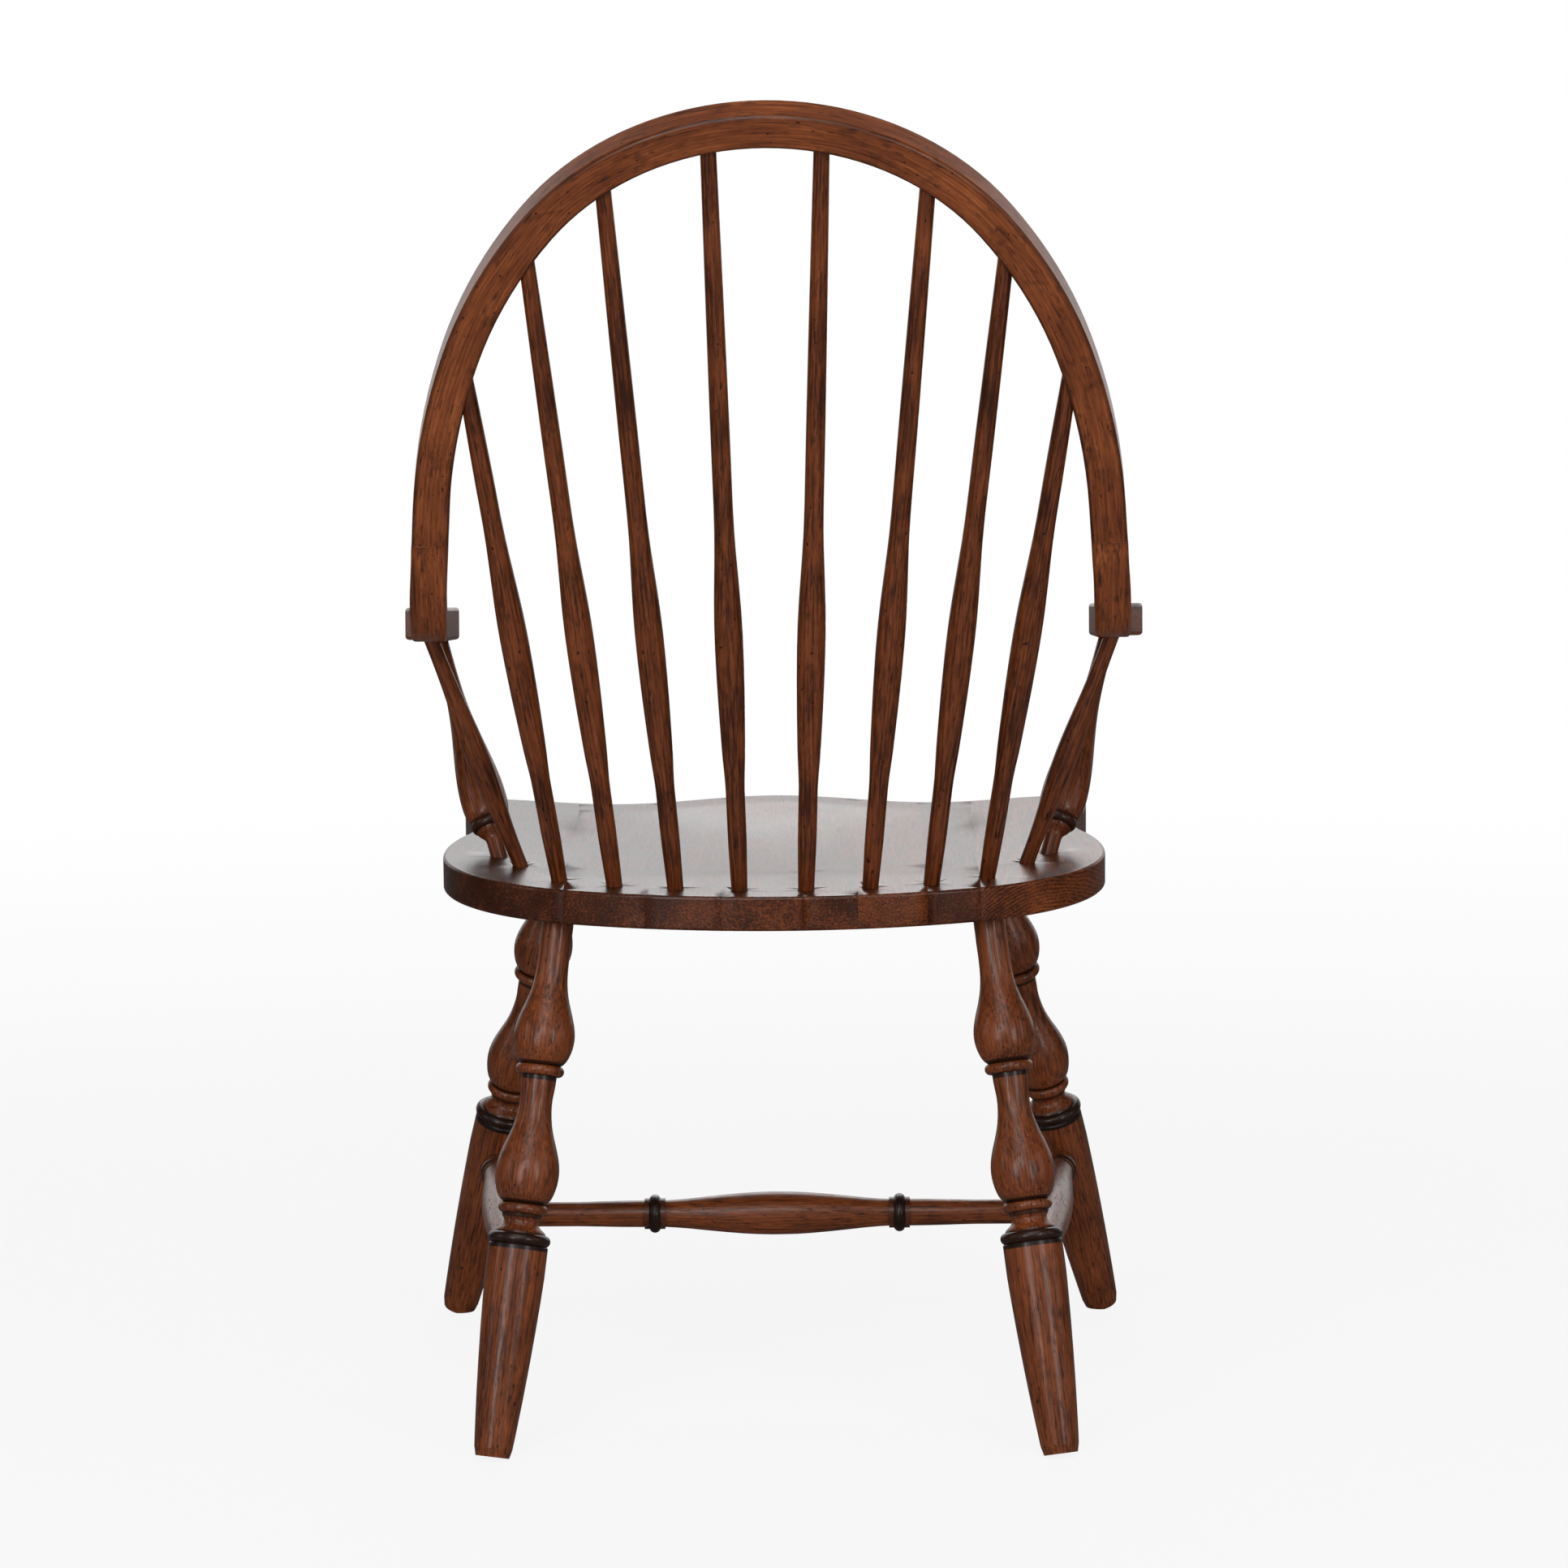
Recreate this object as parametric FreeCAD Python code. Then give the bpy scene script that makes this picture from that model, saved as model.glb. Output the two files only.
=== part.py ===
import FreeCAD, Part
import math
import os
from math import cos, radians, sin, tan

from FreeCAD import Placement, Rotation, Vector

# Bow-back armchair of turned and sawn wood. Millimetres.
# +X is the sitter's left, +Y the back, +Z up. The floor is at Z = 0.
# Places are worked out on a plan whose zero lies on the seat; at the end the
# whole chair moves along Y until its footprint is centred on the origin.

# Joints
glue_gap = 0.1              # all round a tenon or dowel in its bore
bore_spare = 0.6            # a bore is this much deeper than its tenon

# Drawing
curve_steps = 5             # points along each eased part of a turning
same_place = 0.01           # closer than this, two places are the same

# Seat
seat_front_height = 451.5
seat_tilt = 1.75            # degrees, down towards the back
seat_thickness = 27.4
seat_half_width = 265.5
seat_rear_reach = 228.0
seat_rear_radius = 420.0
seat_rear_turn = 22.0       # degrees of the rear arc on each side
seat_side_radius = 230.0
seat_notch_back = 82.0      # from the widest line forward to the notch
seat_notch_to_waist = 32.0
seat_waist_inset = 4.4      # the waist lies this far inside the notch
seat_waist_to_ear = 83.0
seat_ear_flare = 12.0       # the ear stands out from the waist
seat_ear_to_front = 46.0
seat_corner_radius = 22.0
seat_corner_draw = 0.4      # the front corner stands this far inside the ear
seat_pommel_bulge = 7.5
seat_top_rounding = 2.6
seat_bottom_rounding = 2.5
seat_board_edges = [163.5, 100.0, 39.5, -24.3, -66.3, -120.6, -162.2]

# Saddle of the seat
hollow_depth = 9.0
hollow_half_width = 196.0
hollow_back = 132.0         # rear rim of the hollow
hollow_front = -168.0       # front rim of the hollow
thigh_drop = 6.5            # at the front edge, under each thigh
thigh_offset = 130.0        # from the pommel to the deepest line
thigh_run_out = 230.0       # how far back the thigh hollows fade
hollow_side_fullness = 1.5
hollow_end_fullness = 0.8
thigh_fade = 1.5
saddle_steps = 24
saddle_margin = 20.0        # the carved surface reaches this far past the sides
saddle_front_margin = 30.0

# Legs: turnings are measured down from the underside of the seat. A fullness
# says how a swelling rises: under 1 it is round at once, over 1 it stays slim.
leg_socket_height = 435.5   # where the socket centres below are taken
rear_socket = (165.6, 149.1)
front_socket = (169.4, -134.4)
rear_splay = 7.38
rear_rake = 14.31
front_splay = 13.67
front_rake = 16.08
leg_tenon_length = 15.5
leg_neck_radius = 12.4
leg_neck_length = 17.0
upper_vase_radius = 24.2
upper_vase_at = 97.0
upper_vase_rise = 6.0
upper_vase_shoulder = 0.6
upper_ring_radius = 19.15
upper_ring_at = 123.1
ring_seat = 0.82            # a ring sits on wood of this share of its radius
lower_vase_radius = 25.0
lower_vase_at = 204.0
lower_vase_rise = 2.9
lower_vase_shoulder = 0.5
lower_ring_radius = 19.5
lower_ring_at = 232.4
leg_ring_width = 8.6
leg_waist_radius = 12.9
leg_waist_at = 144.0
leg_waist_spread = 1.0      # wider than the waist where it meets a ring
cove_radius = 13.9
cove_rise = 3.6
collar_radius = 24.65
collar_at = 256.0
collar_step = 1.0           # from the collar's base in to the groove below it
collar_groove = 1.2         # length of that groove
leg_body_radius = 23.4
leg_body_length = 30.0      # below the collar, before the taper
foot_radius = 15.05
foot_swell = 0.23           # how full the taper is, as a share of half its fall
foot_chamfer = 1.75
foot_chamfer_height = 7.0
foot_flat = 1.5             # cut level off the lowest edge of each foot

# Stretchers
stretcher_height = 139.5
stretcher_tenon_length = 20.0
side_end_radius = 9.9
side_swell_radius = 17.3
side_neck_radius = 10.6
side_bead_radius = 13.6
side_bead_offset = 164.0    # from the middle
centre_end_radius = 9.9
centre_swell_radius = 17.5
centre_neck_radius = 10.9
centre_bead_radius = 15.6
centre_bead_offset = 99.5
centre_tenon_length = 13.0
stretcher_bead_width = 8.8
stretcher_fillet_width = 4.0
stretcher_fillet_rise = 0.35    # share of the bead's height over the neck
stretcher_swell_fullness = 1.4
stretcher_end_taper = 0.6   # share of the plain end over which it thins

# Bow: drawn in its own leaning plane, down from the top of the hoop
bow_recline = 27.78         # degrees from upright
bow_width = 28.0            # in the plane of the hoop
bow_thickness = 26.5
bow_rounding = 3.2
crown_radius = 229.0
crown_turn = 52.0
shoulder_radius = 394.0
shoulder_turn = 71.5
flank_radius = 571.0
flank_turn = 86.0
bow_leg_length = 31.1       # straight part above the joint, along the lean

# Arms
arm_heel = (216.0, 637.5)   # Y and Z where rear face and underside would meet
arm_fall = 7.0              # degrees, down towards the front
arm_bend_radius = 69.0
arm_above_bend = 52.7       # straight part of the block up to the joint
arm_reach = 328.0           # from the end of the bend to the front
arm_drift = 0.026           # sideways per length, away from the middle
paddle_widening = 15.6      # all of it on the outer side
paddle_length = 40.0        # of full width
paddle_flare = 70.0         # over which the arm widens
paddle_corner_radius = 15.0
arm_section_spacing = 16.0  # between the cross-sections that shape it
joint_dowel_radius = 4.0
joint_dowel_reach = 22.0    # into each piece
joint_dowel_spacing = 12.0

# Back spindles, from the middle outwards: foot on the seat, head on the hoop
back_spindle_feet = [(26.0, 198.0), (76.0, 191.0), (124.0, 178.0), (168.0, 154.0)]
back_spindle_heads = [11.3, 34.3, 54.7, 71.6]   # degrees round the hoop
spindle_foot_radius = 6.4
spindle_neck_radius = 7.42
spindle_swell_radius = 10.9
spindle_head_radius = 6.1
spindle_swell_from = 88.0
spindle_swell_at = 217.0
spindle_swell_to = 328.0
spindle_neck_at = 57.0
spindle_rise_fullness = 0.93
spindle_fall_fullness = 1.9
spindle_foot_tenon = 14.0
spindle_past_middle = 4.0   # the head goes past the middle line of the hoop
spindle_bearing = 24.0      # plain length at the head, mostly in the bow

# Arm spindles and posts
arm_spindle_foot = (201.0, 94.0)
arm_spindle_head = 128.0    # place along Y of the head under the arm
arm_spindle_end_radius = 5.9
arm_spindle_swell_radius = 9.4
arm_spindle_swell_share = 0.46      # of the length, up from the seat
arm_spindle_fullness = 2.9
arm_post_foot = (220.0, 52.0)
arm_post_head = -55.0
arm_post_end_radius = 6.8
arm_post_bead_radius = 15.6
arm_post_bead_step = 1.2    # from the bead's crest to the wood above it
arm_post_neck_step = 3.2    # from the bead's crest to the wood below it
arm_post_bead_at = 28.0
arm_post_neck_length = 10.0
arm_post_neck_fullness = 5.0
arm_post_bead_width = 8.0
arm_post_swell_radius = 18.5
arm_post_swell_at = 50.0
arm_post_swell_fullness = 0.52
arm_post_taper_fullness = 3.8
arm_tenon_length = 13.0

# Worked out
thigh_share = math.pi / (2 * thigh_offset)
arm_turn = 90.0 - bow_recline - arm_fall
heel_length = arm_bend_radius * tan(radians(arm_turn / 2))
bow_up = Vector(0, sin(radians(bow_recline)), cos(radians(bow_recline)))
bow_back = Vector(0, cos(radians(bow_recline)), -sin(radians(bow_recline)))
arm_forward = Vector(0, -cos(radians(arm_fall)), -sin(radians(arm_fall)))
arm_up = Vector(0, -sin(radians(arm_fall)), cos(radians(arm_fall)))
heel = Vector(0, arm_heel[0], arm_heel[1])
joint_rear = heel + bow_up * (heel_length + arm_above_bend)


# Outlines

class Outline:
    """A chain of lines and curves in one plane, drawn point by point."""

    def __init__(self, start):
        self.start = start
        self.here = start
        self.edges = []

    def line(self, end):
        self.edges.append(Part.makeLine(self.here, end))
        self.here = end

    def arc(self, middle, end):
        self.edges.append(Part.Arc(self.here, middle, end).toShape())
        self.here = end

    def curve(self, points):
        spline = Part.BSplineCurve()
        spline.interpolate([self.here] + points)
        self.edges.append(spline.toShape())
        self.here = points[-1]

    def face(self):
        """Close the chain with a straight line and fill it."""
        if (self.here - self.start).Length > same_place:
            self.line(self.start)
        return Part.Face(Part.Wire(self.edges))


class Turning(Outline):
    """Half section of a turned piece: distance along its axis, and radius."""

    def __init__(self, start, radius):
        super().__init__(Vector(0, 0, start))
        self.to(start, radius)

    def to(self, distance, radius):
        self.line(Vector(radius, 0, distance))

    def bead(self, width, crest, radius=None):
        """A half-round ring, from here over its crest to the radius beyond."""
        begin = self.here.z
        radius = self.here.x if radius is None else radius
        self.arc(Vector(crest, 0, begin + width / 2), Vector(radius, 0, begin + width))

    def flow(self, *points):
        self.curve([Vector(radius, 0, distance) for distance, radius in points])

    def ease(self, *targets):
        """One smooth curve through targets: distance, radius and fullness of each.

        It runs level at the fuller end of every part.
        """
        points = []
        begin, radius = self.here.z, self.here.x
        for finish, next_radius, fullness in targets:
            growth = next_radius - radius
            for step in range(1, curve_steps + 1):
                share = step / curve_steps
                level = sin(share * math.pi / 2) ** fullness
                if growth < 0:
                    level = 1 - cos(share * math.pi / 2) ** fullness
                points.append((begin + (finish - begin) * share, radius + growth * level))
            begin, radius = finish, next_radius
        self.flow(*points)

    def solid(self, base, towards):
        """Spin the section and stand it on its base point."""
        self.line(Vector(0, 0, self.here.z))
        spun = self.face().revolve(Vector(0, 0, 0), Vector(0, 0, 1), 360)
        spun.Placement = Placement(base, Rotation(Vector(0, 0, 1), towards - base))
        return spun


def bore(base, towards, start, end, radius):
    """Cutter for the bore of a tenon that lies along base to towards."""
    axis = (towards - base).normalize()
    return Part.makeCylinder(radius + glue_gap, end - start, base + axis * start, axis)


def level_edges(shape, height):
    """Edges that lie at one height."""
    return [edge for edge in shape.Edges
            if abs(edge.BoundBox.ZMin - height) < same_place
            and abs(edge.BoundBox.ZMax - height) < same_place]


# Places on the seat

seat_turn = Rotation(Vector(1, 0, 0), -seat_tilt)
seat_shoulder_radius = ((seat_half_width - seat_rear_radius * sin(radians(seat_rear_turn)))
                        / (1 - sin(radians(seat_rear_turn))))
seat_rear_centre = seat_rear_reach - seat_rear_radius
shoulder_centre = (seat_rear_centre
                   + (seat_rear_radius - seat_shoulder_radius) * cos(radians(seat_rear_turn)))
side_centre = seat_half_width - seat_side_radius
notch = (side_centre + math.sqrt(seat_side_radius ** 2 - seat_notch_back ** 2),
         shoulder_centre - seat_notch_back)
waist = (notch[0] - seat_waist_inset, notch[1] - seat_notch_to_waist)
ear = (waist[0] + seat_ear_flare, waist[1] - seat_waist_to_ear)
seat_front = ear[1] - seat_ear_to_front
seat_middle_height = (seat_front_height
                      + (seat_front - seat_pommel_bulge) * tan(radians(seat_tilt)))
seat_placement = Placement(Vector(0, 0, seat_middle_height), seat_turn)


def on_seat(x, y, drop=0.0):
    """Point of the seat's top plane, or so far below it."""
    return seat_placement.multVec(Vector(x, y, -drop))


def seat_bottom_along(point, direction):
    """Where a line meets the underside of the seat."""
    normal = seat_turn.multVec(Vector(0, 0, 1))
    drop = (on_seat(0, 0, seat_thickness) - point).dot(normal)
    return point + direction * (drop / direction.dot(normal))


# Seat

def seat_side(hand):
    """Outline points and curves of one side, from the rear arc to the front."""
    def at(x, y):
        return Vector(hand * x, y, 0)
    rear_half = radians(seat_rear_turn) / 2
    rear_mid = at(seat_rear_radius * sin(rear_half),
                  seat_rear_centre + seat_rear_radius * cos(rear_half))
    rear_end = at(seat_rear_radius * sin(2 * rear_half),
                  seat_rear_centre + seat_rear_radius * cos(2 * rear_half))
    shoulder_angle = radians((90 + seat_rear_turn) / 2)
    shoulder_x = seat_half_width - seat_shoulder_radius
    shoulder_mid = at(shoulder_x + seat_shoulder_radius * sin(shoulder_angle),
                      shoulder_centre + seat_shoulder_radius * cos(shoulder_angle))
    widest = at(seat_half_width, shoulder_centre)
    side_angle = math.asin(seat_notch_back / seat_side_radius) / 2
    side_mid = at(side_centre + seat_side_radius * cos(side_angle),
                  shoulder_centre - seat_side_radius * sin(side_angle))
    corner = ear[0] - seat_corner_draw
    corner_start = at(corner, seat_front + seat_corner_radius)
    slack = seat_corner_radius * (1 - sin(radians(45)))
    corner_mid = at(corner - slack, seat_front + slack)
    corner_end = at(corner - seat_corner_radius, seat_front)
    half = Outline(at(0, seat_rear_reach))
    half.arc(rear_mid, rear_end)
    half.arc(shoulder_mid, widest)
    half.arc(side_mid, at(*notch))
    between = at((waist[0] + ear[0]) / 2, (waist[1] + ear[1]) / 2)
    half.curve([at(*waist), between, at(*ear), corner_start])
    half.arc(corner_mid, corner_end)
    half.curve([at(abs(corner_end.x) * share, seat_front - seat_pommel_bulge * (1 - share ** 2))
                for share in (0.5, 0.0)])
    return half.edges


def saddle_depth(x, y):
    """Depth of the carved saddle below the seat's top plane."""
    across = 1 - (x / hollow_half_width) ** 2
    middle = (hollow_back + hollow_front) / 2
    along = 1 - ((y - middle) / (hollow_back - middle)) ** 2
    bowl = hollow_depth * max(across, 0) ** hollow_side_fullness * max(along, 0) ** hollow_end_fullness
    fade = max(0, 1 - (y - seat_front) / thigh_run_out) ** thigh_fade
    thigh = thigh_drop * sin(min(abs(x) * thigh_share, math.pi)) ** 2 * min(fade, 1)
    return bowl + thigh


def saddle_cutter():
    """Everything above the carved surface of the seat, in the seat's own plane."""
    reach_x = seat_half_width + saddle_margin
    low_y = seat_front - saddle_front_margin
    high_y = seat_rear_reach + saddle_margin
    grid = []
    for i in range(saddle_steps + 1):
        x = reach_x * (2 * i / saddle_steps - 1)
        row = []
        for j in range(saddle_steps + 1):
            y = low_y + (high_y - low_y) * j / saddle_steps
            row.append(Vector(x, y, -saddle_depth(x, y)))
        grid.append(row)
    surface = Part.BSplineSurface()
    surface.interpolate(grid)
    return surface.toShape().extrude(Vector(0, 0, 3 * seat_thickness))


def carved_seat():
    """The saddled seat, tilted, without its bores."""
    outline = Part.Wire(Part.__sortEdges__(seat_side(1) + seat_side(-1)))
    slab = Part.Face(outline).extrude(Vector(0, 0, 2 * seat_thickness))
    slab.translate(Vector(0, 0, -seat_thickness))
    slab = slab.makeFillet(seat_bottom_rounding, level_edges(slab, -seat_thickness))
    carved = slab.cut(saddle_cutter()).Solids[0]
    lowest_rim = -hollow_depth - thigh_drop
    rim = [edge for edge in carved.Edges if edge.BoundBox.ZMin > lowest_rim]
    carved = carved.makeFillet(seat_top_rounding, rim)
    carved.Placement = seat_placement
    return carved


def seat_boards(seat):
    """Cut the seat along its glue lines, from the sitter's left to right."""
    reach = 2 * seat_half_width
    edges = [reach] + seat_board_edges + [-reach]
    boards = {}
    for number, (left, right) in enumerate(zip(edges, edges[1:]), 1):
        corner = Vector(right, -reach, seat_front_height - reach)
        slice_box = Part.makeBox(left - right, 2 * reach, 2 * reach, corner)
        boards[f"seat_board_{number}"] = seat.common(slice_box)
    return boards


# Bow

def hoop_point(turn, depth):
    """Place in the hoop's plane: sideways, and down from its top.

    The turn is in degrees from the top, the depth is in from the outer edge.
    """
    arcs = [(crown_radius, crown_turn), (shoulder_radius, shoulder_turn), (flank_radius, flank_turn)]
    radius, last = arcs[0]
    centre_x = 0.0
    centre_down = radius
    for next_radius, next_last in arcs[1:]:
        if turn <= last:
            break
        centre_x += (radius - next_radius) * sin(radians(last))
        centre_down += (next_radius - radius) * cos(radians(last))
        radius, last = next_radius, next_last
    return (centre_x + (radius - depth) * sin(radians(turn)),
            centre_down - (radius - depth) * cos(radians(turn)))


hoop_rise = hoop_point(flank_turn, 0)[1] + bow_leg_length
bow_top = joint_rear + bow_up * hoop_rise
leg_lean = tan(radians(90 - flank_turn))
joint_outer = hoop_point(flank_turn, 0)[0] + bow_leg_length * leg_lean
joint_width = bow_width / sin(radians(flank_turn))


def on_bow(place, forward=0.0):
    """Point of the bow's rear plane, or so far in front of it."""
    sideways, down = place
    return bow_top + Vector(sideways, 0, 0) - bow_up * down - bow_back * forward


def hoop_arc(outline, hand, begin, end, depth):
    """An arc of the hoop's edge from here, between two turns of one side."""
    middle = hoop_point((begin + end) / 2, depth)
    finish = hoop_point(end, depth)
    outline.arc(on_bow((hand * middle[0], middle[1])), on_bow((hand * finish[0], finish[1])))


def lies_in(edge, point, normal):
    """Whether an edge lies in a plane."""
    places = [vertex.Point for vertex in edge.Vertexes] + [edge.CenterOfMass]
    return all(abs((place - point).dot(normal)) < same_place for place in places)


def bow():
    """The hoop: its outer edge from right to left, then the inner edge back."""
    turns = [0.0, crown_turn, shoulder_turn, flank_turn]
    joint_inner = joint_outer - joint_width
    hoop = Outline(on_bow((-joint_outer, hoop_rise)))
    for depth, hand, end in ((0.0, -1, joint_outer), (bow_width, 1, joint_inner)):
        first = hoop_point(flank_turn, depth)
        if depth:
            hoop.line(on_bow((hand * end, hoop_rise)))
        hoop.line(on_bow((hand * first[0], first[1])))
        for begin, finish in zip(turns[::-1], turns[-2::-1]):
            hoop_arc(hoop, hand, begin, finish, depth)
        for begin, finish in zip(turns, turns[1:]):
            hoop_arc(hoop, -hand, begin, finish, depth)
        hoop.line(on_bow((-hand * end, hoop_rise)))
    solid = hoop.face().extrude(bow_back * -bow_thickness)
    faces = (bow_top, bow_top - bow_back * bow_thickness)
    rims = [edge for edge in solid.Edges
            if any(lies_in(edge, face, bow_back) for face in faces)
            and not lies_in(edge, joint_rear, bow_up)]
    return solid.makeFillet(bow_rounding, rims)


# Arms

bend_length = arm_bend_radius * radians(arm_turn)
arm_length = arm_above_bend + bend_length + arm_reach
flare_start = arm_length - paddle_length - paddle_flare


def arm_sides(length):
    """Inner and outer edge of an arm, so far along it from the joint."""
    leg = min(length, arm_above_bend)
    beyond = max(length - arm_above_bend, 0)
    inner = joint_outer - joint_width + leg * leg_lean + beyond * arm_drift
    flare = min(max((length - flare_start) / paddle_flare, 0), 1)
    widening = paddle_widening * flare ** 2 * (3 - 2 * flare)
    return inner, inner + joint_width + widening


def arm_section(hand, length):
    """Rectangle with eased corners across the arm, so far along it."""
    bent = min(max(length - arm_above_bend, 0), bend_length)
    turn = radians(bow_recline) + bent / arm_bend_radius
    up = Vector(0, -cos(turn), sin(turn))
    bend_centre = heel + bow_up * heel_length - bow_back * arm_bend_radius
    under = bend_centre - up * arm_bend_radius
    if length < arm_above_bend:
        under += bow_up * (arm_above_bend - length)
    under += arm_forward * max(length - arm_above_bend - bend_length, 0)
    inner_side, outer_side = arm_sides(length)
    ease = bow_rounding
    slack = ease * (1 - sin(radians(45)))

    def at(x, rise):
        return under + Vector(hand * x, 0, 0) + up * rise

    section = Outline(at(inner_side + ease, 0))
    section.line(at(outer_side - ease, 0))
    section.arc(at(outer_side - slack, slack), at(outer_side, ease))
    section.line(at(outer_side, bow_thickness - ease))
    section.arc(at(outer_side - slack, bow_thickness - slack), at(outer_side - ease, bow_thickness))
    section.line(at(inner_side + ease, bow_thickness))
    section.arc(at(inner_side + slack, bow_thickness - slack), at(inner_side, bow_thickness - ease))
    section.line(at(inner_side, ease))
    section.arc(at(inner_side + slack, slack), at(inner_side + ease, 0))
    return Part.Wire(section.edges)


def on_arm(hand, place_y):
    """Point of an arm's underside, midway across its slim part."""
    forward = (heel.y - place_y) / cos(radians(arm_fall))
    length = arm_above_bend + bend_length + forward - heel_length
    inner = arm_sides(length)[0]
    place = heel + arm_forward * forward
    return Vector(hand * (inner + joint_width / 2), place.y, place.z)


def paddle_end(hand):
    """Cutter that leaves the paddle's front with rounded corners."""
    inner_side, outer_side = arm_sides(arm_length)
    radius = paddle_corner_radius
    slack = radius * (1 - sin(radians(45)))
    reach = 2 * bow_thickness
    front = heel + arm_forward * (heel_length + arm_reach) - arm_up * bow_thickness

    def at(x, back):
        return front + Vector(hand * x, 0, 0) - arm_forward * back

    waste = Outline(at(inner_side - reach, radius))
    waste.line(at(inner_side, radius))
    waste.arc(at(inner_side + slack, slack), at(inner_side + radius, 0))
    waste.line(at(outer_side - radius, 0))
    waste.arc(at(outer_side - slack, slack), at(outer_side, radius))
    waste.line(at(outer_side + reach, radius))
    waste.line(at(outer_side + reach, -reach))
    waste.line(at(inner_side - reach, -reach))
    return waste.face().extrude(arm_up * 3 * bow_thickness)


def arm(hand):
    """Arm block: the end of the bow's leg, the bend, the arm and its paddle."""
    overlong = arm_length + bow_thickness
    count = math.ceil(overlong / arm_section_spacing)
    lengths = [overlong * step / count for step in range(count + 1)]
    block = Part.makeLoft([arm_section(hand, length) for length in lengths], True, False)
    return block.cut(paddle_end(hand)).Solids[0]


def joint_dowels(hand):
    """Places of the two dowels across the joint of bow and arm, on its plane."""
    middle = Vector(hand * (joint_outer - joint_width / 2), joint_rear.y, joint_rear.z)
    middle -= bow_back * (bow_thickness / 2)
    return [middle + Vector(side * joint_dowel_spacing / 2, 0, 0) for side in (-1, 1)]


# Turned pieces

def back_spindle(foot, head):
    """Slender spindle with one long swell, equally high above the seat on each."""
    length = (head - foot).Length
    piece = Turning(-spindle_foot_tenon, spindle_foot_radius)
    piece.to(spindle_foot_radius / 2, spindle_foot_radius)
    piece.ease((spindle_neck_at, spindle_neck_radius, 1),
               (spindle_swell_from, spindle_neck_radius, 1),
               (spindle_swell_at, spindle_swell_radius, spindle_rise_fullness),
               (spindle_swell_to, spindle_neck_radius, spindle_fall_fullness),
               (length - spindle_bearing, spindle_head_radius, 1))
    piece.to(length + spindle_past_middle, spindle_head_radius)
    return piece.solid(foot, head)


def arm_spindle(foot, head):
    """Slim short spindle under an arm, thickest a little below the middle."""
    length = (head - foot).Length
    end = arm_spindle_end_radius
    piece = Turning(-arm_tenon_length, end)
    piece.to(end / 2, end)
    piece.ease((length * arm_spindle_swell_share, arm_spindle_swell_radius, arm_spindle_fullness),
               (length - end / 2, end, arm_spindle_fullness))
    piece.to(length + arm_tenon_length, end)
    return piece.solid(foot, head)


def arm_post(foot, head):
    """Turned post under an arm: neck, bead, then a long tapering swell."""
    length = (head - foot).Length
    end = arm_post_end_radius
    bead_start = arm_post_bead_at - arm_post_bead_width / 2
    piece = Turning(-arm_tenon_length, end)
    piece.to(arm_post_neck_length, end)
    piece.ease((bead_start, arm_post_bead_radius - arm_post_neck_step, arm_post_neck_fullness))
    piece.bead(arm_post_bead_width, arm_post_bead_radius, arm_post_bead_radius - arm_post_bead_step)
    piece.ease((arm_post_swell_at, arm_post_swell_radius, arm_post_swell_fullness),
               (length - end, end, arm_post_taper_fullness))
    piece.to(length + arm_tenon_length, end)
    return piece.solid(foot, head)


def leg(socket, floor_point):
    """Turned leg from its tenon in the seat down to its foot."""
    length = (floor_point - socket).Length
    ring_half = leg_ring_width / 2
    upper_ring = upper_ring_at - ring_half
    lower_ring = lower_ring_at - ring_half
    collar_start = collar_at - ring_half
    piece = Turning(-leg_tenon_length, leg_neck_radius)
    piece.to(leg_neck_length, leg_neck_radius)
    piece.ease((upper_vase_at, upper_vase_radius, upper_vase_rise),
               (upper_ring, upper_ring_radius * ring_seat, upper_vase_shoulder))
    piece.bead(leg_ring_width, upper_ring_radius)
    piece.to(upper_ring + leg_ring_width, leg_waist_radius + leg_waist_spread)
    piece.ease((leg_waist_at, leg_waist_radius, 1),
               (lower_vase_at, lower_vase_radius, lower_vase_rise),
               (lower_ring, lower_ring_radius * ring_seat, lower_vase_shoulder))
    piece.bead(leg_ring_width, lower_ring_radius)
    cove_start = lower_ring + leg_ring_width
    piece.ease(((cove_start * 2 + collar_start) / 3, cove_radius, 1),
               (collar_start, collar_radius - ring_half, cove_rise))
    piece.bead(leg_ring_width, collar_radius, leg_body_radius - collar_step)
    body_start = collar_start + leg_ring_width + collar_groove
    body_end = collar_at + leg_body_length
    foot_start = length - foot_chamfer_height
    piece.to(body_start, leg_body_radius)
    piece.to(body_end, leg_body_radius)
    half_fall = (leg_body_radius - foot_radius) / 2
    swollen = leg_body_radius - half_fall * (1 - foot_swell)
    piece.arc(Vector(swollen, 0, (body_end + foot_start) / 2), Vector(foot_radius, 0, foot_start))
    piece.to(length, foot_radius - foot_chamfer)
    turned = piece.solid(socket, floor_point)
    reach = 4 * leg_body_radius
    below = Part.makeBox(2 * reach, 2 * reach, reach, floor_point + Vector(-reach, -reach, -reach))
    below.translate(Vector(0, 0, -floor_point.z))
    return turned.cut(below)


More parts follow.
